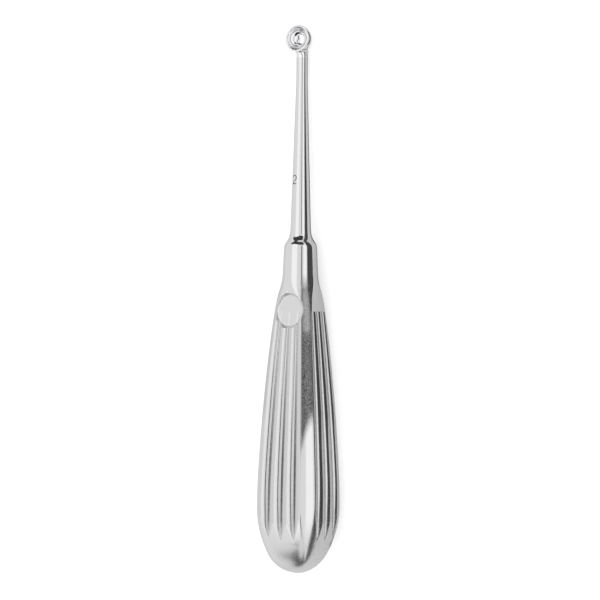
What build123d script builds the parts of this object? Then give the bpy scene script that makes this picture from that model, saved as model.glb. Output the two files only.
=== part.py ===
from build123d import *
from math import atan2, degrees, hypot, radians, tan
import os

# Bone curette: one piece of stainless steel, a fluted club handle, a collar, a slim
# shaft and a round cutting cup. It is modelled along its own axis, with the butt at
# Z = 0, the cup at the top, the front face towards -Y, and is laid down at the end.

# Driving dimensions, in millimetres and degrees
overall_length = 170.0  # butt to the far edge of the cup

butt_radius = 10.5  # rounding at the end of the handle
belly_radius = 12.9  # widest part of the handle
belly_station = 20.5  # its distance from the butt
belly_run = 18.0  # how far the belly stays full before it tapers
shoulder_radius = 6.55  # handle where it turns in to the collar
shoulder_station = 87.6
shoulder_run = 7.0
shoulder_slope = 0.34  # fall of the radius per millimetre there

collar_base_radius = 5.45
collar_base_station = 93.5
collar_top_radius = 5.15
collar_top_station = 101.0
ring_radius = 4.4  # crisp ring where the collar's shoulder meets the shaft's flare
ring_station = 103.0

shaft_root_radius = 3.17
shaft_root_station = 107.2
shaft_neck_radius = 1.76  # the shaft narrows to this and runs straight on to the cup
shaft_neck_station = 153.0

face_radius = 10.84  # from the axis to each flat face at the belly
face_run = 17.5
face_end_radius = 5.62  # where the flats run out over the collar's root
face_end_station = 92.0
face_end_slope = 0.116
face_end_run = 17.0
face_nose = 0.8  # how far past the butt the line of a flat would close

panel_angle = 32.9  # half the angle that a fluted panel spans at the axis
flutes_per_face = 3
flute_depth_share = 0.295  # depth of the valleys between the round ribs, as a share of the pitch
rib_drop = 0.08  # how far the tops of the ribs lie below the flat
flute_top_station = 81.3  # the square ends of the flutes
flute_fade_station = 28.0  # from here to the butt the flutes get shallower
flute_start_station = -2.0
flute_fade_spans = 5  # lengths in which the flutes' cutter is drawn, before and after the fade
flute_spans = 4
flute_butt_depth_share = 0.42  # their depth at the butt end, as a share of the full depth
flute_butt_drop = 0.3  # how far the ribs sink below the flat's full height there

thumb_station = 81.5  # middle of the oval thumb rest on the front face
thumb_length = 9.7
thumb_width = 9.2
thumb_depth = 0.95

cup_diameter = 8.3
cup_wall = 0.6
cup_centre_rise = 2.4  # centre of the bowl's sphere, in front of the axis
cup_rim_rise = 3.2  # plane of the rim, in front of the axis

# Derived sizes
cup_radius = cup_diameter / 2
cup_hollow_radius = cup_radius - cup_wall
cup_station = overall_length - cup_radius
cutter_reach = 2 * belly_radius
cutter_rise = belly_radius / 8


def bezier_point(points, t):
    """The point of a cubic Bezier curve at t, from its four control points."""
    weights = ((1 - t) ** 3, 3 * t * (1 - t) ** 2, 3 * t**2 * (1 - t), t**3)
    return tuple(sum(w * p[k] for w, p in zip(weights, points)) for k in (0, 1))


def radius_on(points, station):
    """The curve's radius at a station, found by halving the span that holds it."""
    low, high = 0.0, 1.0
    for _ in range(50):
        middle = (low + high) / 2
        if bezier_point(points, middle)[1] < station:
            low = middle
        else:
            high = middle
    return bezier_point(points, low)[0]


# Profile curves, each point as (radius, station)
handle_taper = [
    (belly_radius, belly_station),
    (belly_radius, belly_station + belly_run),
    (shoulder_radius + shoulder_slope * shoulder_run, shoulder_station - shoulder_run),
    (shoulder_radius, shoulder_station),
]
collar_slope = (collar_base_radius - collar_top_radius) / (collar_top_station - collar_base_station)
collar_root_run = (collar_base_station - shoulder_station) / 3
collar_root = [
    (shoulder_radius, shoulder_station),
    (shoulder_radius - shoulder_slope * collar_root_run, shoulder_station + collar_root_run),
    (collar_base_radius + collar_slope * collar_root_run, collar_base_station - collar_root_run),
    (collar_base_radius, collar_base_station),
]
shaft_slope = (shaft_root_radius - shaft_neck_radius) / (shaft_neck_station - shaft_root_station)
flare_height = shaft_root_station - ring_station
flare_width = ring_radius - shaft_root_radius
shaft_flare = [
    (ring_radius, ring_station),
    (ring_radius - 0.5 * flare_width, ring_station + 0.18 * flare_height),
    (shaft_root_radius + shaft_slope * flare_height / 2, ring_station + flare_height / 2),
    (shaft_root_radius, shaft_root_station),
]
face_taper = [
    (face_radius, belly_station),
    (face_radius, belly_station + face_run),
    (face_end_radius + face_end_slope * face_end_run, face_end_station - face_end_run),
    (face_end_radius, face_end_station),
]


def face_height(station):
    """Distance from the axis to a flat face, level from the belly to the butt."""
    return radius_on(face_taper, max(station, belly_station))


def flute_section(station):
    """Outline of one panel's flutes across the axis: sharp valleys between round ribs."""
    level = face_height(station)
    pitch = 2 * level * tan(radians(panel_angle)) / flutes_per_face
    fade = min(1.0, (station - flute_start_station) / (flute_fade_station - flute_start_station))
    depth = pitch * flute_depth_share * (flute_butt_depth_share + (1 - flute_butt_depth_share) * fade)
    crest = level - rib_drop - flute_butt_drop * (1 - fade)
    rib_radius = ((pitch / 2) ** 2 + depth**2) / (2 * depth)
    quarter_drop = rib_radius - (rib_radius**2 - (pitch / 4) ** 2) ** 0.5
    edge = flutes_per_face * pitch / 2
    middle = (flutes_per_face - 1) / 2 * pitch
    top = crest + cutter_rise
    with BuildLine() as outline:
        Line((-edge - cutter_rise, -top), (-edge, -crest))
        ThreePointArc(
            (-edge, -crest), (-edge + pitch / 4, -crest + quarter_drop), (-middle, -crest + depth)
        )
        for rib in range(flutes_per_face - 1):
            start = -middle + rib * pitch
            ThreePointArc(
                (start, -crest + depth), (start + pitch / 2, -crest), (start + pitch, -crest + depth)
            )
        ThreePointArc(
            (middle, -crest + depth), (edge - pitch / 4, -crest + quarter_drop), (edge, -crest)
        )
        Line((edge, -crest), (edge + cutter_rise, -top))
        Line((edge + cutter_rise, -top), (-edge - cutter_rise, -top))
    return outline.edges()


def corner_height(station):
    """Height of a panel's outer corners, where the cutter's side leaves the turned surface."""
    crest = face_height(station) - rib_drop
    edge = face_height(station) * tan(radians(panel_angle))
    outside = radius_on(handle_taper, station) ** 2 - crest**2 - edge**2
    rise = (((crest + edge) ** 2 + 2 * outside) ** 0.5 - crest - edge) / 2
    return crest + max(rise, 0)


# Cutter for one flat face: all that lies outside the face's own side profile
with BuildPart() as face_cutter:
    with BuildSketch(Plane.YZ):
        with BuildLine():
            nose_height = belly_station + face_nose
            Bezier(
                (0, -face_nose),
                (-0.552 * face_radius, -face_nose),
                (-face_radius, belly_station - 0.552 * nose_height),
                (-face_radius, belly_station),
            )
            Bezier(*[(-radius, station) for radius, station in face_taper])
            Polyline(
                (-face_end_radius, face_end_station),
                (-cutter_reach, face_end_station),
                (-cutter_reach, -face_nose),
                (0, -face_nose),
            )
        make_face()
    extrude(amount=belly_radius, both=True)

# Cutter for one panel of flutes, lofted along the handle
fade_step = (flute_fade_station - flute_start_station) / flute_fade_spans
flute_step = (flute_top_station - flute_fade_station) / flute_spans
flute_stations = [flute_start_station + fade_step * index for index in range(flute_fade_spans)]
flute_stations += [flute_fade_station + flute_step * index for index in range(flute_spans + 1)]
with BuildPart() as flute_cutter:
    for station in flute_stations:
        with BuildSketch(Plane.XY.offset(station)):
            make_face(flute_section(station))
    loft(ruled=True)

with BuildPart() as tool:
    # Turned body: handle, collar and shaft in one profile
    with BuildSketch(Plane.XZ):
        with BuildLine():
            haunch = (
                (belly_station - butt_radius) ** 2 + belly_radius**2 - butt_radius**2
            ) / (2 * (belly_radius - butt_radius))
            lean = hypot(belly_station - butt_radius, haunch - belly_radius)
            butt_turn = (
                butt_radius * (haunch - belly_radius) / lean,
                butt_radius - butt_radius * (belly_station - butt_radius) / lean,
            )
            butt_arc = TangentArc((0, 0), butt_turn, tangent=(1, 0))
            TangentArc(butt_turn, (belly_radius, belly_station), tangent=butt_arc % 1)
            Bezier(*handle_taper)
            Bezier(*collar_root)
            collar = Line(
                (collar_base_radius, collar_base_station),
                (collar_top_radius, collar_top_station),
            )
            TangentArc(collar @ 1, (ring_radius, ring_station), tangent=collar % 1)
            Bezier(*shaft_flare)
            Polyline(
                (shaft_root_radius, shaft_root_station),
                (shaft_neck_radius, shaft_neck_station),
                (shaft_neck_radius, cup_station),
                (0, cup_station),
                (0, 0),
            )
        make_face()
    revolve(axis=Axis.Z)

    # Four flat faces, each with its panel of flutes
    with PolarLocations(0, 4):
        add(face_cutter.part, mode=Mode.SUBTRACT)
    with PolarLocations(0, 4):
        add(flute_cutter.part, mode=Mode.SUBTRACT)

    # Oval thumb rest sunk in the front face to the depth of the flutes
    thumb_plane = Plane(
        origin=(0, -(face_height(thumb_station) - thumb_depth), thumb_station),
        x_dir=(1, 0, 0),
        z_dir=(0, -1, face_end_slope),
    )
    with BuildSketch(thumb_plane):
        Ellipse(thumb_width / 2, thumb_length / 2)
    extrude(amount=2 * thumb_depth + 1, mode=Mode.SUBTRACT)

    # Bowl of the cup: part of a sphere, with a short straight wall up to its rim
    with BuildSketch(Plane.YZ):
        with BuildLine():
            Line((-cup_rim_rise, cup_station), (-cup_rim_rise, overall_length))
            Line((-cup_rim_rise, overall_length), (-cup_centre_rise, overall_length))
            RadiusArc(
                (-cup_centre_rise, overall_length),
                (cup_radius - cup_centre_rise, cup_station),
                cup_radius,
            )
            Line((cup_radius - cup_centre_rise, cup_station), (-cup_rim_rise, cup_station))
        make_face()
    revolve(axis=Axis((0, 0, cup_station), (0, 1, 0)))

    # Hollow of the cup
    with BuildSketch(Plane.YZ):
        with BuildLine():
            rim = -cup_rim_rise - 1
            hollow_end = cup_station + cup_hollow_radius
            Line((rim, cup_station), (rim, hollow_end))
            Line((rim, hollow_end), (-cup_centre_rise, hollow_end))
            RadiusArc(
                (-cup_centre_rise, hollow_end),
                (cup_hollow_radius - cup_centre_rise, cup_station),
                cup_hollow_radius,
            )
            Line((cup_hollow_radius - cup_centre_rise, cup_station), (rim, cup_station))
        make_face()
    revolve(axis=Axis((0, 0, cup_station), (0, 1, 0)), mode=Mode.SUBTRACT)

# Rest: the line that touches the back of the cup and the panels' outer corners lies level
cup_back = cup_radius - cup_centre_rise
rest_tilt = max(
    degrees(atan2(corner_height(station) - cup_back, cup_station - station))
    for station in range(round(flute_fade_station), round(flute_top_station))
)
with BuildPart() as laid:
    with Locations(Location((0, 0, 0), (-90 - rest_tilt, 0, 0))):
        add(tool.part)

# The origin sits on the table, under the middle of the tool
span = laid.part.bounding_box()
with BuildPart() as curette:
    with Locations((-span.center().X, -span.center().Y, -span.min.Z)):
        add(laid.part)

curette.part.label = "curette"
os.makedirs("parts", exist_ok=True)
export_step(curette.part, "parts/curette.step")
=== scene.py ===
# %% [markdown]
# # A bone curette, from its frame to its picture
# The tool is one piece of stainless steel: a club handle with fluted faces, a collar, a
# slim shaft and a round cup with a sharp rim. The CAD model gives its place and sizes,
# and this lesson dresses it as one smooth surface, then lights and photographs it.
# The frame comes first, because its box is what the finished surface has to fill.

# %% Start from the CAD frame
import bpy
import numpy as np
from math import atan2, cos, degrees, hypot, pi, radians, sin, tan
from mathutils import Matrix, Vector


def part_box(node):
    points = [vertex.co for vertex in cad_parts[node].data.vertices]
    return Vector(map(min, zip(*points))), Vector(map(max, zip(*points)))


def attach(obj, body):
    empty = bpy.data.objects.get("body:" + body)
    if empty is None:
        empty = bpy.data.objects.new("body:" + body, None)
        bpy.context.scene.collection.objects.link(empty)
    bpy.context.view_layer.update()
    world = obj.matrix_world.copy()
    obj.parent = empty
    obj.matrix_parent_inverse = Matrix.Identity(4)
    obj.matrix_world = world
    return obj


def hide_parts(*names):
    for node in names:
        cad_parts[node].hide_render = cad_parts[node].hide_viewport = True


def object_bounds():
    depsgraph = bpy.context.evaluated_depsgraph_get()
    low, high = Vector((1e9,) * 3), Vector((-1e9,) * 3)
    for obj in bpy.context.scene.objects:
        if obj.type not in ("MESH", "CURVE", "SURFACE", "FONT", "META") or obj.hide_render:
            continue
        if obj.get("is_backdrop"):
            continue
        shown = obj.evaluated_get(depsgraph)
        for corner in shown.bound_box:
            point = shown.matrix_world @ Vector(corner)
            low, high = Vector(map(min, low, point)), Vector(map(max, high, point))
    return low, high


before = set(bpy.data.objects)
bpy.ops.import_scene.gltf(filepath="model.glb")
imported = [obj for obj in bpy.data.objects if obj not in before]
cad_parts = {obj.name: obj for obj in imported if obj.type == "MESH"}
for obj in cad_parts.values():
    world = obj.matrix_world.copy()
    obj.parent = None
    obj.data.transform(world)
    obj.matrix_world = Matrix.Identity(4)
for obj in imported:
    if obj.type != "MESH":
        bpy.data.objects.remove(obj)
size_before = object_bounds()
low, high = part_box("curette")
MM = 0.001
print("frame", [round(value / MM, 2) for value in (*low, *high)])

# %% [markdown]
# ## Sizes of the real tool
# Every length is in millimetres, measured from the butt of the handle along the axis. A
# pair is a distance from the axis and its station along it. They could be read off the
# solid's mesh, but that is made of flat facets, so the sizes that drew it are used again.

# %% Sizes
OVERALL_LENGTH = 170.0  # butt to the far edge of the cup
BUTT_RADIUS = 10.5
BELLY = (12.9, 20.5)  # widest part of the handle
BELLY_RUN = 18.0  # how far the belly stays full before it tapers
SHOULDER = (6.55, 87.6)  # where the handle turns in to the collar
SHOULDER_RUN = 7.0
SHOULDER_SLOPE = 0.34  # fall of the radius per millimetre there
COLLAR_BASE = (5.45, 93.5)
COLLAR_TOP = (5.15, 101.0)
RING = (4.4, 103.0)  # crisp ring where the collar's shoulder meets the shaft's flare
SHAFT_ROOT = (3.17, 107.2)
FLARE_BEND = 0.18  # share of the flare's height at which its curve is pulled in
SHAFT_NECK = (1.76, 153.0)  # from here on the shaft is a cylinder
FACE_BELLY = 10.84  # from the axis to each flat face at the belly
FACE_RUN = 17.5
FACE_END = (5.62, 92.0)  # where the flats run out over the collar's root
FACE_END_RUN = 17.0
FACE_END_SLOPE = 0.116
FACE_NOSE = 0.8  # how far past the butt the line of a flat would close
PANEL_ANGLE = radians(32.9)  # half the angle that a fluted panel spans at the axis
FLUTES = 3  # valleys in each panel
FLUTE_DEPTH_SHARE = 0.295  # depth of the valleys, as a share of the pitch
RIB_DROP = 0.08  # how far the tops of the ribs lie below the flat
FLUTE_TOP = 81.3  # the square ends of the flutes
FLUTE_FADE = (-2.0, 28.0)  # between these stations the flutes grow to their full depth
FLUTE_BUTT_DEPTH = 0.42  # their depth at the first, as a share of the full depth
FLUTE_BUTT_DROP = 0.3  # how far the ribs sink below the flat's full height there
THUMB_STATION = 81.5  # middle of the oval thumb rest
THUMB_LENGTH = 9.7
THUMB_WIDTH = 9.2
THUMB_DEPTH = 0.95
CUP_RADIUS = 4.15
CUP_WALL = 0.6
CUP_LIP = 0.12  # rounding of the rim's two edges
CUP_CENTRE_RISE = 2.4  # centre of the bowl's sphere, in front of the axis
CUP_RIM_RISE = 3.2  # plane of the rim, in front of the axis
CUP_STATION = OVERALL_LENGTH - CUP_RADIUS
NECK_START = 154.6  # from here on the shaft is drawn as part of the bowl's neck
print("cup's centre at", CUP_STATION, "and", round(CUP_RIM_RISE - CUP_CENTRE_RISE, 2), "under its rim")


# %% [markdown]
# ## Curves
# A turned tool has one side profile. It could be drawn by hand with curve objects, but
# straight lines, arcs and cubic curves give the profile that the solid was turned from,
# so these helpers return each of them as rows of points, radius then station.

# %% Curve helpers
QUARTER_ARC = 0.552  # with control points at this share of the radius a cubic is a quarter circle


def bezier(points, count=160):
    """Cubic curve: the sum of the four control points weighted by (1-t)^3, 3t(1-t)^2,
    3t^2(1-t) and t^3, for t from 0 to 1."""
    t = np.linspace(0, 1, count)[:, None]
    a, b, c, d = (np.array(point, float) for point in points)
    return (1 - t) ** 3 * a + 3 * t * (1 - t) ** 2 * b + 3 * t**2 * (1 - t) * c + t**3 * d


def tangent_arc(start, heading, end, count=80):
    """Arc that leaves start along heading and reaches end: it turns by twice the angle
    between heading and chord, and a point at share t lies 2R sin(t angle) from start."""
    start, end = np.array(start, float), np.array(end, float)
    chord = end - start
    angle = atan2(chord[1], chord[0]) - heading
    radius = hypot(*chord) / (2 * sin(angle))
    t = np.linspace(0, 1, count)
    reach = 2 * radius * np.sin(t * angle)
    return start + np.stack([reach * np.cos(heading + t * angle), reach * np.sin(heading + t * angle)], 1)


def butt_curves():
    """The rounded end: an arc of the butt's radius round the axis, and a wider haunch
    that reaches the belly. They meet on the line through both centres."""
    behind = BELLY[1] - BUTT_RADIUS
    haunch = (behind**2 + BELLY[0] ** 2 - BUTT_RADIUS**2) / (2 * (BELLY[0] - BUTT_RADIUS))
    lean = hypot(behind, haunch - BELLY[0])
    meeting = (BUTT_RADIUS * (haunch - BELLY[0]) / lean, BUTT_RADIUS - BUTT_RADIUS * behind / lean)
    heading = atan2(meeting[0], BUTT_RADIUS - meeting[1])
    return [tangent_arc((0, 0), 0.0, meeting), tangent_arc(meeting, heading, BELLY)]


def collar_curves():
    """The cubic root that leads in to the collar, and the round shoulder that ends it.
    The collar's straight side joins the last point of one to the first of the other."""
    fall = (COLLAR_BASE[0] - COLLAR_TOP[0]) / (COLLAR_TOP[1] - COLLAR_BASE[1])
    run = (COLLAR_BASE[1] - SHOULDER[1]) / 3
    root = bezier([
        SHOULDER,
        (SHOULDER[0] - SHOULDER_SLOPE * run, SHOULDER[1] + run),
        (COLLAR_BASE[0] + fall * run, COLLAR_BASE[1] - run),
        COLLAR_BASE,
    ])
    return [root, tangent_arc(COLLAR_TOP, pi / 2 + atan2(fall, 1), RING)]


def profile_curves():
    """The side profile, end to end: the butt's two arcs, a cubic taper, the collar, a
    cubic flare, the shaft's straight taper and the cylinder that runs to the cup."""
    taper = bezier([
        BELLY,
        (BELLY[0], BELLY[1] + BELLY_RUN),
        (SHOULDER[0] + SHOULDER_SLOPE * SHOULDER_RUN, SHOULDER[1] - SHOULDER_RUN),
        SHOULDER,
    ])
    rise = SHAFT_ROOT[1] - RING[1]
    shaft_fall = (SHAFT_ROOT[0] - SHAFT_NECK[0]) / (SHAFT_NECK[1] - SHAFT_ROOT[1])
    flare = bezier([
        RING,
        ((RING[0] + SHAFT_ROOT[0]) / 2, RING[1] + FLARE_BEND * rise),
        (SHAFT_ROOT[0] + shaft_fall * rise / 2, RING[1] + rise / 2),
        SHAFT_ROOT,
    ])
    shaft = np.array([SHAFT_NECK, (SHAFT_NECK[0], CUP_STATION)])
    return np.concatenate([*butt_curves(), taper, *collar_curves(), flare, shaft])


def face_curves():
    """Side line of a flat face: a cubic quarter oval over the butt, level at the belly,
    then a cubic that falls towards the collar."""
    nose_rise = BELLY[1] + FACE_NOSE
    nose = bezier([
        (0, -FACE_NOSE),
        (QUARTER_ARC * FACE_BELLY, -FACE_NOSE),
        (FACE_BELLY, BELLY[1] - QUARTER_ARC * nose_rise),
        (FACE_BELLY, BELLY[1]),
    ])
    taper = bezier([
        (FACE_BELLY, BELLY[1]),
        (FACE_BELLY, BELLY[1] + FACE_RUN),
        (FACE_END[0] + FACE_END_SLOPE * FACE_END_RUN, FACE_END[1] - FACE_END_RUN),
        FACE_END,
    ])
    return np.concatenate([nose, taper])


PROFILE = profile_curves()
FACE = face_curves()
print("profile points", len(PROFILE), "widest", round(float(PROFILE[:, 0].max()), 2))


# %% [markdown]
# ## The handle as one surface
# The real handle is turned, then four flat faces are milled on it, three flutes are cut
# in each face and a thumb rest is sunk in the front. Booleans could repeat those cuts,
# but they leave ragged edges. In a section across the axis each cut is a distance from
# the axis at each angle, and the steel left is the smallest one, so the least of them,
# softened as the belt softens the real edges, gives one clean surface.

# %% Turned shape and flats
NO_CUT = 99.0  # a distance from the axis that stands for no cut at all


def smooth_least(a, b, blend):
    """The lesser of a and b, with the corner between them rounded over blend."""
    h = np.clip(0.5 + 0.5 * (b - a) / blend, 0, 1)
    return b * (1 - h) + a * h - blend * h * (1 - h)


def rising(value, start, run):
    """0 up to start, then a straight climb to 1 over run."""
    return np.clip((value - start) / run, 0, 1)


def falling(value, end, run):
    """0 from end on, reached by a straight fall from 1 over run."""
    return np.clip((end - value) / run, 0, 1)


def turned_radius(station):
    """Radius of the turned profile, read off its curves."""
    return np.interp(station, PROFILE[:, 1], PROFILE[:, 0])


def flat_height(station):
    """Distance from the axis to a flat face, read off its side line."""
    return np.interp(station, FACE[:, 1], FACE[:, 0])


def face_height(station):
    """Distance from the axis to a flat face, and no cut where there is no flat."""
    return np.where(station > FACE_END[1], NO_CUT, flat_height(station))


print("radius and flat at the belly", turned_radius(BELLY[1]), flat_height(BELLY[1]))


# %% [markdown]
# ## Flutes and ribs
# A formed cutter leaves round ribs with sharp valleys between them, all narrowing with
# the handle. An array of copies can't narrow and follow the butt at once, so each rib is
# an arc whose width and height are worked out anew at every station.

# %% Flutes, ribs and lands
LEAST_SLOPE = 1e-3  # keeps the land's line from a division by nothing where it isn't cut


def panel_size(station):
    """Crest height, pitch and valley depth of the ribs at each station: shares of the
    flat's height, with the depth fading and the crests sinking towards the butt."""
    level = flat_height(np.maximum(station, BELLY[1]))
    pitch = 2 * level * tan(PANEL_ANGLE) / FLUTES
    fade = rising(station, FLUTE_FADE[0], FLUTE_FADE[1] - FLUTE_FADE[0])
    depth = pitch * FLUTE_DEPTH_SHARE * (FLUTE_BUTT_DEPTH + (1 - FLUTE_BUTT_DEPTH) * fade)
    crest = level - RIB_DROP - FLUTE_BUTT_DROP * (1 - fade)
    return crest, pitch, depth


def rib_point(station, across):
    """Turn angle and distance from the axis of the ribs, where across counts pitches
    from the panel's first edge. A rib is an arc through its two valleys: it falls by
    R - sqrt(R^2 - x^2) at a distance x from its top."""
    crest, pitch, depth = panel_size(station)
    radius = ((pitch / 2) ** 2 + depth**2) / (2 * depth)
    off = np.abs(across - np.round(across)) * pitch
    height = crest - radius + np.sqrt(radius**2 - off**2)
    width = (across - FLUTES / 2) * pitch
    return np.arctan2(width, height), np.hypot(width, height)


def land_point(station, share):
    """Turn angle and cut distance across the land between two panels. The cutter's side
    leaves each panel's edge at 45 degrees, so the distance to its line at a turn a is
    (crest - edge) / (cos a - sin a)."""
    crest, pitch, _ = panel_size(station)
    edge = FLUTES / 2 * pitch
    start = np.arctan2(edge, crest)
    turn = start + (pi / 2 - 2 * start) * share
    near = pi / 4 - np.abs(turn - pi / 4)
    slope = np.cos(near) - np.sin(near)
    cut = np.where(slope > LEAST_SLOPE, (crest - edge) / np.maximum(slope, LEAST_SLOPE), NO_CUT)
    return turn, cut


print("pitch at the belly", round(float(panel_size(BELLY[1])[1]), 2))


# %% [markdown]
# ## Thumb rest and soft edges
# The thumb rest is a shallow oval seat on the front face, milled flat and in line with
# the face. A straight wall would catch the light as a broken line on a grid, so here the
# wall climbs steeply over a fraction of a millimetre. The belt rounds the edges between
# flats and lands a little on the handle and much more on the butt.

# %% Thumb rest and the whole handle
REST_WALL_SLOPE = 1.6  # climb of the rest's wall per millimetre outwards
REST_SOFTNESS = 0.2
FLUTE_SOFTNESS = 0.08
EDGE_SOFTNESS = 0.16
BUTT_SOFTNESS = 1.9  # added on the butt, from station 22 down to 10
BUTT_SOFT_END = 22
BUTT_SOFT_RUN = 12
BUTT_SOFT_POWER = 1.5


def beyond_rest(station, width):
    """Distance outside the thumb rest's oval, in millimetres, less than 0 within it: the
    length of (station, width) in half axes, less one, times half the oval's width."""
    along = (station - THUMB_STATION) / (THUMB_LENGTH / 2)
    return (np.hypot(along, width / (THUMB_WIDTH / 2)) - 1) * THUMB_WIDTH / 2


def rest_cut(station, turn, radius):
    """Distance from the axis to the thumb rest: a floor that falls with the face, and a
    wall that climbs outside the oval, both divided by cos(turn) as a flat is."""
    front = np.cos(turn) > 0
    outside = beyond_rest(station, radius * np.sin(turn))
    level = flat_height(THUMB_STATION) - THUMB_DEPTH
    wall = REST_WALL_SLOPE * np.maximum(outside, 0)
    floor = level - FACE_END_SLOPE * (station - THUMB_STATION) + wall
    return np.where(front, floor / np.cos(np.where(front, turn, 0)), NO_CUT)


def handle_points(station, across, share):
    """Turn angle and distance from the axis all round the handle at each station, and
    where the flute cutter has been. The steel left is the least of the turned shape, the
    flats, the ribs and the thumb rest."""
    rib_turn, rib = rib_point(station, across)
    land_turn, land = land_point(station, share)
    quarter_turn = np.concatenate([rib_turn, land_turn], 1)
    turn = np.concatenate([quarter_turn + k * pi / 2 for k in range(4)], 1)
    cut = np.tile(np.concatenate([rib, land], 1), (1, 4))
    cut = np.where(station < FLUTE_TOP, cut, NO_CUT)
    quarter = (turn + pi / 4) % (pi / 2) - pi / 4
    flat = face_height(station) / np.cos(quarter)
    butt_share = falling(station, BUTT_SOFT_END, BUTT_SOFT_RUN) ** BUTT_SOFT_POWER
    soften = EDGE_SOFTNESS + BUTT_SOFTNESS * butt_share
    radius = smooth_least(turned_radius(station) + 0 * turn, flat, soften)
    milled = cut < radius
    radius = smooth_least(radius, cut, FLUTE_SOFTNESS)
    return turn, smooth_least(radius, rest_cut(station, turn, radius), REST_SOFTNESS), milled


# %% [markdown]
# ## The grid
# Columns run along the tool. An even grid would cross the valleys and fray them, so each
# column follows its own place on a rib: one lies in every valley and others crowd beside
# it. Rows crowd where the flutes run out, at their square ends, over the thumb rest and
# at the ring, which are the places where the shape changes quickly.

# %% Columns and rows
NEAR_POLE = 0.02  # how far the first ring of a round end stands off its pole, in radians
STEP = 0.01  # the flutes' square ends are a step between two rows, this far to each side
NOSE_TURN = radians(60)  # the butt's first rows are spread evenly over this turn
NOSE_TOP = BUTT_RADIUS * (1 - cos(NOSE_TURN))


def crowded(count, ends):
    """Shares from 0 to 1 that crowd towards both ends: t - ends sin(2 pi t) / (2 pi)."""
    t = np.linspace(0, 1, count, endpoint=False)
    return t - ends * np.sin(2 * pi * t) / (2 * pi)


def even(spans):
    """Stations spread evenly over each span of first station, last station and count."""
    return np.concatenate([np.linspace(*span, endpoint=False) for span in spans])


ACROSS = np.concatenate([
    0.5 * crowded(8, 0.4), 0.5 + crowded(18, 0.55), 1.5 + crowded(18, 0.55), 2.5 + 0.5 * crowded(8, 0.4)
])[None, :]
LAND = crowded(20, 0.4)[None, :]
ROWS = np.concatenate([
    BUTT_RADIUS * (1 - np.cos(np.linspace(NEAR_POLE, NOSE_TURN, 26, endpoint=False))),
    even([(NOSE_TOP, 11.5, 22), (11.5, 17, 50), (17, 75, 34), (75, FLUTE_TOP, 32)]),
    FLUTE_TOP + np.array([-STEP, STEP]),
    even([(FLUTE_TOP + 0.1, 87, 44), (87, 101, 16), (101, RING[1], 12), (RING[1], 107.5, 16)]),
    np.linspace(107.5, 154, 20),
])
print("columns", 4 * (ACROSS.size + LAND.size), "rows", len(ROWS))


# %% [markdown]
# ## From the shaft to the bowl
# On the real tool the shaft's end is forged out into the bowl. A cylinder pushed into a
# ball would show a hard seam, so rays fan out from a point behind the bowl, and each one
# ends where it leaves both, rounded in between. The end is closed inside the bowl's wall.

# %% Body of the tool
FRONT_TURN = radians(56)  # in front, the fan stops this much earlier, below the rim
FRONT_POWER = 1.5
NECK_SOFTNESS = 0.05
NECK_FILLET = 1.5  # added in front, where the metal spreads from the shaft to the rim
BOWL_POINT = np.array([0, CUP_STATION, 0])  # the axis point behind the bowl's centre


def ring_points(station, turn, radius):
    """Points of the body: across is radius sin(turn), front is radius cos(turn)."""
    station, turn, radius = np.broadcast_arrays(station, turn, radius)
    return np.stack([radius * np.sin(turn), station, radius * np.cos(turn)], -1)


def front_share(turn):
    """1 on the tool's front and 0 on its back: (1 + cos(turn)) / 2."""
    return (1 + np.cos(turn)) / 2


def fan_stop(turn):
    """Where the fan of rays stops, as an angle from the shaft: a right angle on the back
    and less in front, by the front share to a power."""
    return radians(90) - FRONT_TURN * front_share(turn) ** FRONT_POWER


def fan_ray(fan, turn):
    """Direction of a ray at an angle fan from the shaft: (sin fan sin turn, -cos fan,
    sin fan cos turn)."""
    return np.stack([np.sin(fan) * np.sin(turn), -np.cos(fan), np.sin(fan) * np.cos(turn)], -1)


def reach_of_bowl(direction, radius):
    """Distance from the axis point behind the bowl's centre to its outside, a sphere up
    to its centre's height and a cylinder above: the positive root of |r d - c| = R."""
    rise = CUP_CENTRE_RISE * direction[..., 2]
    ball = rise + np.sqrt(rise**2 + radius**2 - CUP_CENTRE_RISE**2)
    flat = np.hypot(direction[..., 0], direction[..., 1])
    skirt = radius / np.maximum(flat, 1e-6)
    return np.where(ball * direction[..., 2] > CUP_CENTRE_RISE, skirt, ball)


def neck_points(share, turn):
    """Where the shaft spreads into the bowl. Rays fan out from a point on the axis: each
    ends at the greater of the shaft's and the bowl's distance, rounded where they meet."""
    start = np.arctan2(SHAFT_NECK[0], CUP_STATION - NECK_START)
    fan = start + (fan_stop(turn) - start) * share
    direction = fan_ray(fan, turn)
    shaft = SHAFT_NECK[0] / np.sin(fan)
    bowl = reach_of_bowl(direction, CUP_RADIUS)
    blend = NECK_SOFTNESS + NECK_FILLET * front_share(turn) * (1 - share**4)
    reach = -smooth_least(-shaft, -bowl, blend)
    return direction * reach[..., None] + BOWL_POINT


def hidden_points(share, turn):
    """The body's closed end, in the middle of the bowl's wall, running back to the axis."""
    direction = fan_ray(fan_stop(turn) * (1 - share), turn)
    reach = reach_of_bowl(direction, CUP_RADIUS - CUP_WALL / 2)
    return direction * reach[..., None] + BOWL_POINT


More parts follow.
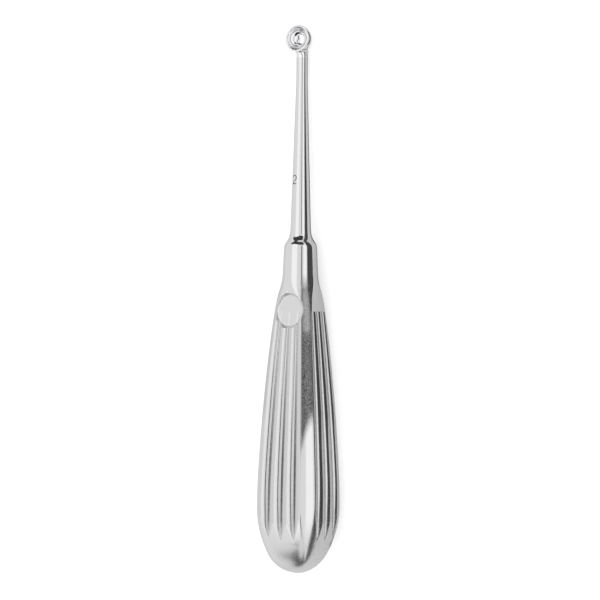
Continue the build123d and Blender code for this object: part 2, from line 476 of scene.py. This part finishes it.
def closed_grid(rows):
    """Faces of a closed surface: rings of points joined row to row, and each end ring
    joined to its own pole point, which is the ring's mean."""
    count, around = rows.shape[:2]
    points = np.concatenate([rows.reshape(-1, 3), rows[:1].mean(1), rows[-1:].mean(1)])
    i = np.arange(count - 1)[:, None] * around
    j = np.arange(around)[None, :]
    k = (j + 1) % around
    quads = np.stack([i + j, i + around + j, i + around + k, i + k], -1).reshape(-1, 4)
    first, last = count * around, count * around + 1
    end = (count - 1) * around
    foot = np.stack([np.full(around, first), j[0], k[0]], -1)
    head = np.stack([np.full(around, last), end + k[0], end + j[0]], -1)
    return points, quads, np.concatenate([foot, head])


station_grid = ROWS[:, None]
turn_grid, radius_grid, milled_grid = handle_points(station_grid, ACROSS, LAND)
body_rows = ring_points(station_grid, turn_grid, radius_grid)
neck_turn = turn_grid[-1:, :]
neck_rows = neck_points(np.linspace(0, 1, 26)[1:, None], neck_turn)
hidden_rows = hidden_points(np.linspace(0.02, 0.98, 6)[:, None], neck_turn)
body = closed_grid(np.concatenate([body_rows, neck_rows, hidden_rows]))
print("body points", len(body[0]))


# %% [markdown]
# ## The bowl
# The cup is a thin bowl ground to a fine lip. A sphere with Solidify would have no lip of
# its own, so one line is drawn from the outer pole, over the lip and down to the inner
# pole, and carried round the bowl's upright axis.

# %% Bowl of the cup
def cup_rows(around=120):
    """The bowl, turned about its own upright axis: the outside sphere and skirt, a round
    over the lip, and the inside skirt and sphere. A point of its line at an angle is
    (r cos(angle), r sin(angle), rise)."""
    inner = CUP_RADIUS - CUP_WALL
    t = np.linspace(NEAR_POLE, pi / 2, 36)
    outside = np.stack([CUP_RADIUS * np.sin(t), CUP_CENTRE_RISE - CUP_RADIUS * np.cos(t)], 1)
    turn = np.linspace(0, pi / 2, 5)
    lip_rise = CUP_RIM_RISE - CUP_LIP
    over_outer = np.stack([
        CUP_RADIUS - CUP_LIP + CUP_LIP * np.cos(turn), lip_rise + CUP_LIP * np.sin(turn)], 1)
    over_inner = np.stack([
        inner + CUP_LIP - CUP_LIP * np.sin(turn), lip_rise + CUP_LIP * np.cos(turn)], 1)
    t = np.linspace(pi / 2, NEAR_POLE, 32)
    inside = np.stack([inner * np.sin(t), CUP_CENTRE_RISE - inner * np.cos(t)], 1)
    line = np.concatenate([outside, over_outer, over_inner, inside])
    angle = np.linspace(0, 2 * pi, around, endpoint=False)[None, :]
    radius, rise = line[:, :1], line[:, 1:]
    return np.stack([
        radius * np.cos(angle), CUP_STATION + radius * np.sin(angle), rise + 0 * angle], -1)


cup = closed_grid(cup_rows())
print("cup points", len(cup[0]))


# %% [markdown]
# ## One piece, laid on the table
# The tool lies on the swell of its handle and the back of its cup. It could be dropped
# with a physics step, but the line it rests on follows from its sizes, and the frame's
# box says where its lowest point and its butt are.

# %% Put the tool together
CORNER_STATIONS = np.arange(28, 81)  # where the panels' outer corners can touch the table
CLEAR = 0.00001  # a hundredth of a millimetre, in metres, that keeps the surface in the box


def rest_tilt():
    """The steepest line from the back of the cup to the outer corners of a panel. Such a
    corner is where the cutter's 45 degree side leaves the turned circle, (c + r)^2 +
    (e + r)^2 = R^2, solved for its rise r over the panel's edge."""
    back = CUP_RADIUS - CUP_CENTRE_RISE
    crest, pitch, _ = panel_size(CORNER_STATIONS)
    edge = FLUTES / 2 * pitch
    outside = turned_radius(CORNER_STATIONS) ** 2 - crest**2 - edge**2
    rise = (np.sqrt((crest + edge) ** 2 + 2 * outside) - crest - edge) / 2
    slopes = np.arctan2(crest + np.maximum(rise, 0) - back, CUP_STATION - CORNER_STATIONS)
    return float(np.max(slopes))


TILT = rest_tilt()
LAY = Matrix.Rotation(-TILT, 3, "X")
LAY_ROWS = np.array(LAY)


def tilted(points):
    """Millimetres along the tool to metres, turned about X by the tilt."""
    return points @ LAY_ROWS.T * MM


tool_points = np.concatenate([body[0], cup[0]])
lowest = tilted(tool_points).min(0)
ORIGIN = np.array([0.0, low[1] - lowest[1], low[2] - lowest[2] + CLEAR])
print("tilt", round(degrees(TILT), 3), "origin", ORIGIN)


def to_row(points):
    """Millimetres along the tool to metres in the row frame: tilted, then moved, so that
    the butt and the lowest point meet the frame's box."""
    return tilted(points) + ORIGIN


def mesh_of(name, points, faces):
    """A mesh from points and lists of face arrays, smooth all over."""
    mesh = bpy.data.meshes.new(name)
    mesh.from_pydata(points.tolist(), [], [face for group in faces for face in group.tolist()])
    mesh.polygons.foreach_set("use_smooth", np.ones(len(mesh.polygons), bool))
    mesh.update()
    return mesh


def object_of(mesh):
    """An object of the mesh's name at the origin, in the scene."""
    thing = bpy.data.objects.new(mesh.name, mesh)
    bpy.context.scene.collection.objects.link(thing)
    return thing


offset = len(body[0])
faces = [body[1], body[2], cup[1] + offset, cup[2] + offset]
curette_mesh = mesh_of("curette_steel", np.clip(to_row(tool_points), low, high), faces)
curette = object_of(curette_mesh)
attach(curette, "root")
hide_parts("curette")
print("triangles", sum(len(group) * (group.shape[1] - 2) for group in faces))


# %% [markdown]
# ## Steel
# The tool is stainless steel all over. The handle is belted to a satin along its length,
# the shaft is buffed bright and the cup is polished to a mirror. One grey with one
# roughness would look like plastic, so noise stretched along the tool gives the streaks
# that a belt leaves. The real ones are finer than a pixel, so these are drawn 0.3 to
# 0.8 mm wide, as coarse as they need to be to show.

# %% Colour and node helpers
def linear(code):
    """sRGB hex to linear red, green, blue and alpha."""
    values = [int(code[k : k + 2], 16) / 255 for k in (0, 2, 4)]
    return [v / 12.92 if v <= 0.04045 else ((v + 0.055) / 1.055) ** 2.4 for v in values] + [1.0]


def add_node(tree, kind, settings=None, **inputs):
    """One node with its settings and its inputs. An input is named as its socket, or as
    i_ and its number: a value sets the socket, and a socket is linked to it."""
    node = tree.nodes.new(kind)
    for name, value in (settings or {}).items():
        setattr(node, name, value)
    for name, value in inputs.items():
        key = int(name[2:]) if name.startswith("i_") else name.replace("_", " ")
        socket = node.inputs[key]
        if isinstance(value, bpy.types.NodeSocket):
            tree.links.new(value, socket)
        else:
            socket.default_value = value
    return node


def new_material(name):
    """An empty node material and its tree."""
    material = bpy.data.materials.new(name)
    material.use_nodes = True
    material.node_tree.nodes.clear()
    return material, material.node_tree


# %% The three finishes
STREAK = (1.0, 0.06, 1.0)  # the grain is about sixteen times as long as it is wide
PIT_MM = 0.36  # specks left by cutter and blasting, drawn coarser than real ones to show
PIT_NOISE = (0.3, 0.7)  # this range of the noise is spread over the range of darkness
PIT_DARKNESS = (0.72, 1.18)
SHADE_AND_MILLED_TONE = "3c3c3e"  # painted shade and painted dark reflections, and the darker tone of unpolished milled steel


def steel(name, colour, roughness, grain_mm, grain_depth_mm, spread):
    """Stainless steel whose polishing marks run along the tool: noise stretched along Y
    varies the roughness and lifts the surface a little. Where the mesh's value for painted
    shade and unpolished steel rises the steel darkens in specks, which paints shade and dark
    reflections on it and gives milled steel its duller tone, and where its dull value rises
    it turns matt."""
    material, tree = new_material(name)
    place = add_node(tree, "ShaderNodeTexCoord")
    stretch = add_node(tree, "ShaderNodeMapping", Vector=place.outputs["Object"], Scale=STREAK)
    grain = add_node(tree, "ShaderNodeTexNoise", Vector=stretch.outputs[0],
                     Scale=1 / (grain_mm * MM), Detail=3.0)
    vary = add_node(tree, "ShaderNodeMapRange", Value=grain.outputs["Fac"],
                    To_Min=roughness - spread, To_Max=roughness + spread)
    dull = add_node(tree, "ShaderNodeAttribute", {"attribute_name": "dull"})
    rough = add_node(tree, "ShaderNodeMath", {"operation": "ADD"},
                     i_0=vary.outputs[0], i_1=dull.outputs["Fac"])
    shade_and_unpolished = add_node(tree, "ShaderNodeAttribute", {"attribute_name": "shade_and_unpolished"})
    pits = add_node(tree, "ShaderNodeTexNoise", Vector=place.outputs["Object"],
                    Scale=1 / (PIT_MM * MM), Detail=2.0)
    speck = add_node(tree, "ShaderNodeMapRange", Value=pits.outputs["Fac"],
                     From_Min=PIT_NOISE[0], From_Max=PIT_NOISE[1],
                     To_Min=PIT_DARKNESS[0], To_Max=PIT_DARKNESS[1])
    dark = add_node(tree, "ShaderNodeMath", {"operation": "MULTIPLY", "use_clamp": True},
                    i_0=speck.outputs[0], i_1=shade_and_unpolished.outputs["Fac"])
    tone = add_node(tree, "ShaderNodeMix", {"data_type": "RGBA"}, Factor=dark.outputs[0],
                    i_6=linear(colour), i_7=linear(SHADE_AND_MILLED_TONE))
    bump = add_node(tree, "ShaderNodeBump", Height=grain.outputs["Fac"],
                    Strength=1.0, Distance=grain_depth_mm * MM)
    shader = add_node(tree, "ShaderNodeBsdfPrincipled", Base_Color=tone.outputs["Result"], Metallic=1.0,
                      Roughness=rough.outputs[0], Normal=bump.outputs[0])
    add_node(tree, "ShaderNodeOutputMaterial", Surface=shader.outputs[0])
    return material


# The belt's fine streaks blur reflections on the handle a little
satin = steel("satin stainless steel, brushed along the handle", "e6e6e7", 0.11, 0.3, 0.0012, 0.03)
# The buffed shaft keeps long, even reflections with hardly any streak
bright = steel("bright stainless steel, buffed shaft", "e6e6e7", 0.1, 0.4, 0.0005, 0.02)
# The mirror cup shows small, hard reflections of all that stands round it
mirror = steel("mirror stainless steel, polished cup", "f6f6f7", 0.03, 0.8, 0.0, 0.01)

# %% [markdown]
# ## Which finish goes where
# The polisher changes wheels at the collar and again at the cup. Separate pieces would
# break the one surface, so each face gets its finish by its station along the tool.

# %% Finishes along the tool
SATIN_END = 96  # the satin runs a little way up the collar
BRIGHT_END = 160  # the mirror starts on the neck, just before the bowl

for material in (satin, bright, mirror):
    curette_mesh.materials.append(material)
centres = np.empty(len(curette_mesh.polygons) * 3)
curette_mesh.polygons.foreach_get("center", centres)
stations = (((centres.reshape(-1, 3) - ORIGIN) / MM) @ LAY_ROWS)[:, 1]
finish = np.where(stations < SATIN_END, 0, np.where(stations < BRIGHT_END, 1, 2))
curette_mesh.polygons.foreach_set("material_index", finish.astype(np.int32))
print("faces of each finish", np.bincount(finish))


# %% [markdown]
# ## Painted shade in the valleys and on the lands
# The valley bottoms are darkened: painted shade, partly polishing residue. The front panel's
# ribs get a weaker painted shade beside each valley, one land gets a painted dark reflection
# and the others a faint one, and milled steel keeps a slightly darker tone. Painted masks
# would need an image, so a value at each point of the grid, worked out from its place on a
# rib, tells the material how dark and how matt it is. A pair is a station and the run that
# a change takes from or to it.

# %% Painted shade and roughness at each point
VALLEY_SHADE = 0.85  # shares of the dark tone: painted shade, painted dark reflections and milled steel's duller tone
# painted shade on the left side of each rib of the front panel
RIB_SIDE_SHADE = 0.2
MILLED_WEAR = 0.13
# painted dark reflection on the land right of the front panel, and a faint one on the others
PAINTED_LAND_SHADE = 0.86
OTHER_LANDS = 0.15
VALLEY_WIDTH = 0.38  # millimetres from the bottom of a valley at which most is gone
SIDE_WIDTH = 1.1
VALLEY_START = (12, 6)  # station where the valleys' painted shade starts, and the run it grows over
FRONT_VALLEY_LIFT = 0.75  # what the front panel's valleys lose of their painted shade towards the rest
FRONT_VALLEY_LIFT_START = (35, 35)
LAND_SHADE_START = (47, 5)  # where the painted dark reflection on a land starts, for its far edge
LAND_SHADE_SLANT = 12  # how much nearer the butt it starts beside the panel before it
LAND_SHADE_END = (88, 5)
REST_SIDE = (74.5, 1.5)  # from here on the land's painted dark reflection is lighter by a share
REST_SIDE_LIFT = 0.3
LAND_EDGE = 5  # how steeply the painted dark reflection fades in from a land's edges, per share of its width
BUTT_DULL = 0.17  # shares of added roughness
LAND_DULL = 0.2
REST_WALL_DULL = 0.5
BUTT_DULL_END = (20, 6)
REST_WALL = (-0.15, 0.5)  # the rest's wall, as distances outside its oval


def valley_shade(station):
    """How dark the valleys are painted, on the front panel and on the others: painted shade in
    the bottoms, partly polishing residue. A bell curve, exp(-(x / width)^2), fades from a
    valley's bottom, and on the front panel a wider, weaker one paints shade on the left side
    of each rib, next to the valley. The front panel's are lighter towards the rest."""
    _, pitch, _ = panel_size(station)
    place = ACROSS - np.floor(ACROSS) - 0.5
    ends = (station < FLUTE_TOP) * rising(station, *VALLEY_START)
    deep = VALLEY_SHADE * np.exp(-((np.abs(place) * pitch / VALLEY_WIDTH) ** 2)) * ends
    side = RIB_SIDE_SHADE * np.exp(-((np.maximum(place, 0) * pitch / SIDE_WIDTH) ** 2)) * ends * (place > 0)
    front_lift = 1 - FRONT_VALLEY_LIFT * rising(station, *FRONT_VALLEY_LIFT_START)
    return np.maximum(deep, side) * front_lift, deep


def land_shade(station):
    """How dark a land is painted, as a painted dark reflection: from a line above the belly
    that slants with the square of the place across, weaker beside the thumb rest, to the
    collar's root, and fading towards the land's edges."""
    start = LAND_SHADE_START[0] - LAND_SHADE_SLANT * (1 - LAND) ** 2
    along = rising(station, start, LAND_SHADE_START[1]) * (1 - REST_SIDE_LIFT * rising(station, *REST_SIDE))
    edges = np.clip(LAND_EDGE * np.minimum(LAND, 1.04 - LAND) + 0.1, 0, 1)
    return along * (1 - rising(station, *LAND_SHADE_END)) * edges


def shade_and_dull_values():
    """How dark each point is painted and how dull it is: painted shade in the valleys and on
    the rib sides, a painted dark reflection on the lands, and the darker tone of milled steel.
    A row holds the four panels, each with the land on its right, and starts with the front
    panel and the darkest painted land."""
    station = ROWS[:, None]
    front, deep = valley_shade(station)
    land = land_shade(station)
    butt = BUTT_DULL * falling(station, *BUTT_DULL_END)
    shade_and_unpolished = np.concatenate([front, PAINTED_LAND_SHADE * land] + [deep, OTHER_LANDS * land] * 3, 1)
    shade_and_unpolished = np.maximum(shade_and_unpolished, MILLED_WEAR * milled_grid)
    dull = np.tile(np.concatenate([butt + 0 * deep, butt + LAND_DULL * land], 1), (1, 4))
    outside = beyond_rest(station, radius_grid * np.sin(turn_grid))
    in_rest = (np.cos(turn_grid) > 0) & (outside < REST_WALL[1])
    dull = dull + REST_WALL_DULL * (in_rest & (outside > REST_WALL[0]))
    shade_and_unpolished = np.where(in_rest, 0, shade_and_unpolished)
    polished = np.zeros(len(tool_points) - dull.size)
    return [np.concatenate([value.ravel(), polished]) for value in (shade_and_unpolished, dull)]


# the painted shade, with the milled tone, and the roughness go on the points as two values
for label, values in zip(("shade_and_unpolished", "dull"), shade_and_dull_values()):
    mask_layer = curette_mesh.attributes.new(label, "FLOAT", "POINT")
    mask_layer.data.foreach_set("value", values.astype(np.float32))
    print(label, "up to", round(float(values.max()), 2))


# %% [markdown]
# ## Size number
# The maker punches the size of the cup into the front of the shaft. A text object would
# bring a typeface that no punch has, and cutting it in would need a finer grid, so it is
# a fine dark line laid on the steel: a bow, a slanting neck and a foot.

# %% Size number on the shaft
NUMBER_STATION = 120.9  # foot of the figure
NUMBER_TURN = radians(-17)
NUMBER_HEIGHT = 2.6
NUMBER_WIDTH = 1.5
HALF_LINE = 0.15
LINE_HEIGHT = 0.01
BOW = (0.95 * pi, -0.22 * pi)  # where the figure's bow starts and ends, as angles


def number_path(count=14):
    """The figure as points across and along: a bow, which is an arc of half the figure's
    width, then two straight lines."""
    bow = NUMBER_WIDTH / 2
    turn = np.linspace(*BOW, count)
    head = np.stack([bow * np.cos(turn), NUMBER_HEIGHT - bow + bow * np.sin(turn)], 1)
    share = np.linspace(0, 1, count)[1:, None]
    neck = head[-1] + (np.array([-bow, 0]) - head[-1]) * share
    foot = np.array([-bow, 0]) + np.array([NUMBER_WIDTH, 0]) * share
    return np.concatenate([head, neck, foot])


def number_rows(around=8):
    """Rings round the path, flat ovals that hug the shaft: half a line wide to each side
    and a hundredth of a millimetre high. Its width is wrapped as an angle, width / R."""
    path = number_path()
    ahead = np.gradient(path, axis=0)
    ahead /= np.linalg.norm(ahead, axis=1)[:, None]
    aside = np.stack([ahead[:, 1], -ahead[:, 0]], 1)
    t = np.linspace(0, 2 * pi, around, endpoint=False)
    flat = path[:, None, :] + aside[:, None, :] * (HALF_LINE * np.cos(t))[None, :, None]
    station = NUMBER_STATION + flat[..., 1]
    radius = turned_radius(station) + LINE_HEIGHT * np.sin(t)[None, :]
    return ring_points(station, NUMBER_TURN + flat[..., 0] / turned_radius(station), radius)


def punched_line():
    """A punched groove holds polishing dirt and shade: nearly black, matt, and greyer
    where it is worn, in patches of about 0.4 mm."""
    material, tree = new_material("punched line, dark in its bottom")
    place = add_node(tree, "ShaderNodeTexCoord")
    worn = add_node(tree, "ShaderNodeTexNoise", Vector=place.outputs["Object"],
                    Scale=1 / (0.4 * MM), Detail=1.0)
    tone = add_node(tree, "ShaderNodeMapRange", Value=worn.outputs["Fac"],
                    From_Min=0.3, From_Max=0.7, To_Min=0.02, To_Max=0.2)
    colour = add_node(tree, "ShaderNodeCombineColor", Red=tone.outputs[0],
                      Green=tone.outputs[0], Blue=tone.outputs[0])
    shader = add_node(tree, "ShaderNodeBsdfPrincipled", Base_Color=colour.outputs[0], Roughness=0.6)
    add_node(tree, "ShaderNodeOutputMaterial", Surface=shader.outputs[0])
    return material


number = closed_grid(number_rows())
number_mesh = mesh_of("size_number", to_row(number[0]), [number[1], number[2]])
number_mesh.materials.append(punched_line())
size_number = object_of(number_mesh)
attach(size_number, "root")
print("size number points", len(number[0]))


# %% [markdown]
# ## Floor
# The tool lies on a white ground. More light would burn out the steel before the ground
# turned white, so for the camera alone it adds a little light of its own: it reads as
# white and still darkens where the tool shades it.

# %% Floor
FLOOR = 3.0  # metres from its middle to each side


def floor_material():
    """Matt white, with a faint glow that only the camera sees."""
    material, tree = new_material("matt white studio floor")
    path = add_node(tree, "ShaderNodeLightPath")
    paint = add_node(tree, "ShaderNodeBsdfDiffuse", Color=linear("f0f0f0"))
    glow = add_node(tree, "ShaderNodeEmission", Color=linear("ffffff"), Strength=0.5)
    both = add_node(tree, "ShaderNodeAddShader", i_0=paint.outputs[0], i_1=glow.outputs[0])
    choose = add_node(tree, "ShaderNodeMixShader", i_0=path.outputs["Is Camera Ray"],
                      i_1=paint.outputs[0], i_2=both.outputs[0])
    add_node(tree, "ShaderNodeOutputMaterial", Surface=choose.outputs[0])
    return material


def staged(name, points, faces, material):
    """A plain mesh of a few flat faces, set in the scene as stage."""
    mesh = bpy.data.meshes.new(name)
    mesh.from_pydata([tuple(point) for point in points], [], faces)
    mesh.materials.append(material)
    thing = object_of(mesh)
    thing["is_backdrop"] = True
    return thing


corners = [(-FLOOR, -FLOOR, 0), (FLOOR, -FLOOR, 0), (FLOOR, FLOOR, 0), (-FLOOR, FLOOR, 0)]
staged("floor", corners, [(0, 1, 2, 3)], floor_material())
print("floor", 2 * FLOOR, "m across")


# %% [markdown]
# ## Light
# Steel shows its surroundings, not lamps. Spot lamps would give it a few burnt dots, so a
# light tent is built: soft white from all round, with cards that draw the lines on the
# steel. Only reflections see the cards. Those round the tool stand metres away, and the
# others lie flat on the floor.

# %% World and view
world = bpy.data.worlds.new("white light tent")
bpy.context.scene.world = world
world.use_nodes = True
background = world.node_tree.nodes["Background"]
background.inputs["Color"].default_value = (1, 1, 1, 1)
background.inputs["Strength"].default_value = 0.85

VIEW_TURN = radians(32.2)  # the camera stands this far round to the right of the front
VIEW_STATION = 84.84  # station in the middle of the picture
SIGHT = LAY @ Vector((sin(VIEW_TURN), 0, cos(VIEW_TURN)))
AXIS_POINT = to_row(np.array([0.0, VIEW_STATION, 0.0]))
print("line of sight", [round(part, 3) for part in SIGHT])


# %% Card helpers
def tone_material(name, grey):
    """A plain tone that only reflections see."""
    material, tree = new_material(name)
    tone = add_node(tree, "ShaderNodeEmission", Color=(grey, grey, grey, 1), Strength=1.0)
    add_node(tree, "ShaderNodeOutputMaterial", Surface=tone.outputs[0])
    return material


def reflected(name, points, faces, grey):
    """A card of one tone, taken out of everything but reflections."""
    thing = staged(name, points, faces, tone_material(name, grey))
    thing.visible_camera = False
    thing.visible_diffuse = False
    thing.visible_shadow = False


def round_card(name, azimuths, elevations, grey, distance=2.5, steps=8):
    """A curved card round the tool's axis, between two azimuths from the camera's side
    and two elevations towards the cup, in degrees. Its points are (D sin(azimuth),
    D tan(elevation), D cos(azimuth))."""
    turn = VIEW_TURN + np.radians(np.linspace(*azimuths, steps + 1))[:, None]
    along = distance * np.tan(np.radians(np.array([elevations])))
    spread = np.broadcast_arrays(distance * np.sin(turn), along, distance * np.cos(turn))
    points = AXIS_POINT + np.stack(spread, -1).reshape(-1, 3) @ LAY_ROWS.T
    reflected(name, points, [(k, k + 1, k + 3, k + 2) for k in range(0, 2 * steps, 2)], grey)


def floor_card(name, corners, grey):
    """A flat card just above the floor, corners in millimetres across and along."""
    points = [(x * MM, y * MM, 0.0002) for x, y in corners]
    reflected(name, points, [tuple(range(len(points)))], grey)


# %% [markdown]
# ## Where the cards stand
# From the left to the right round the tool: the soft boxes give the broad bright bands,
# the dark cards the thin lines between them, and the high ones the blacks in the cup. The
# strips on the floor are what the steel's lower right side sees, and they darken it.

# %% Cards
round_card("soft box on the left", (-60, -22), (-40, 40), 1.1, distance=2.4)
round_card("thin dark card", (-10, 0), (-40, 3), 0.06)
round_card("thin grey card", (5, 13), (3, 30), 0.2)
round_card("soft box on the right", (21, 42), (-40, 40), 1.1)
round_card("dark card low on the right", (47, 58), (-40, 40), 0.06)
round_card("dark card high beyond the cup", (-88, 30), (36, 70), 0.05)
round_card("dark card on the right beyond the cup", (45, 85), (30, 70), 0.02)
round_card("dark card on the left towards the butt", (-85, -42), (-72, -46), 0.02)

STRIP = ((26, -500), (2400, -500), (2400, 500), (13, 500), (13, 90), (16, 10), (17, -36), (26, -46))
floor_card("dark strip out on the right", STRIP, 0.07)
floor_card("shade under the handle", ((2, -80), (9, -80), (5, 0), (2, 0)), 0.08)
floor_card("shade under the cup", ((5, 76), (6.5, 76), (6.5, 87), (5, 87)), 0.03)
floor_card("shade under the shaft", ((1, 0), (5, 0), (2, 76), (1, 76)), 0.08)

BEYOND = -2.2  # metres from the tool to the card that stands beyond its butt
butt_card = [(-1.0, BEYOND, 0.2), (1.0, BEYOND, 0.2), (1.0, BEYOND, 1.3), (-1.0, BEYOND, 1.3)]
reflected("dark card beyond the butt", butt_card, [(0, 1, 2, 3)], 0.05)


# %% [markdown]
# ## Camera
# It looks along the photograph's line of sight: round to the tool's right by 32 degrees,
# with the tool upright in the picture but for half a degree. A camera could be aimed with
# a constraint, but its own matrix says the same in three directions and a place.

# %% Camera
DISTANCE = 0.45
SCALE = 3.212  # pixels to the millimetre in the photograph
PIXELS = 600
LEAN = radians(0.5)
camera_data = bpy.data.cameras.new("camera")
camera = bpy.data.objects.new("camera", camera_data)
bpy.context.scene.collection.objects.link(camera)
camera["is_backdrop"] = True
upright = Matrix.Rotation(LEAN, 3, SIGHT) @ (LAY @ Vector((0, 1, 0)))
side = upright.cross(SIGHT)
stand = Vector(AXIS_POINT) + DISTANCE * SIGHT
camera.matrix_world = Matrix((
    (side.x, upright.x, SIGHT.x, stand.x),
    (side.y, upright.y, SIGHT.y, stand.y),
    (side.z, upright.z, SIGHT.z, stand.z),
    (0, 0, 0, 1),
))
camera_data.lens = camera_data.sensor_width * DISTANCE / (PIXELS / SCALE * MM)
bpy.context.scene.camera = camera
bpy.context.scene.view_settings.view_transform = "Standard"
print("lens", round(camera_data.lens, 1), "mm")


# %% [markdown]
# ## Measure and finish
# The size is taken again and put beside the first, so that the dressed tool and the solid
# can be seen side by side.

# %% Sizes and finish
def plain(value):
    """Nested arrays or vectors as plain lists of numbers."""
    return [plain(part) for part in value] if hasattr(value, "__len__") else float(value)


size_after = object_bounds()
{"before": plain(size_before), "after": plain(size_after)}
print("size in mm", [round(value / MM, 2) for corner in size_after for value in corner])
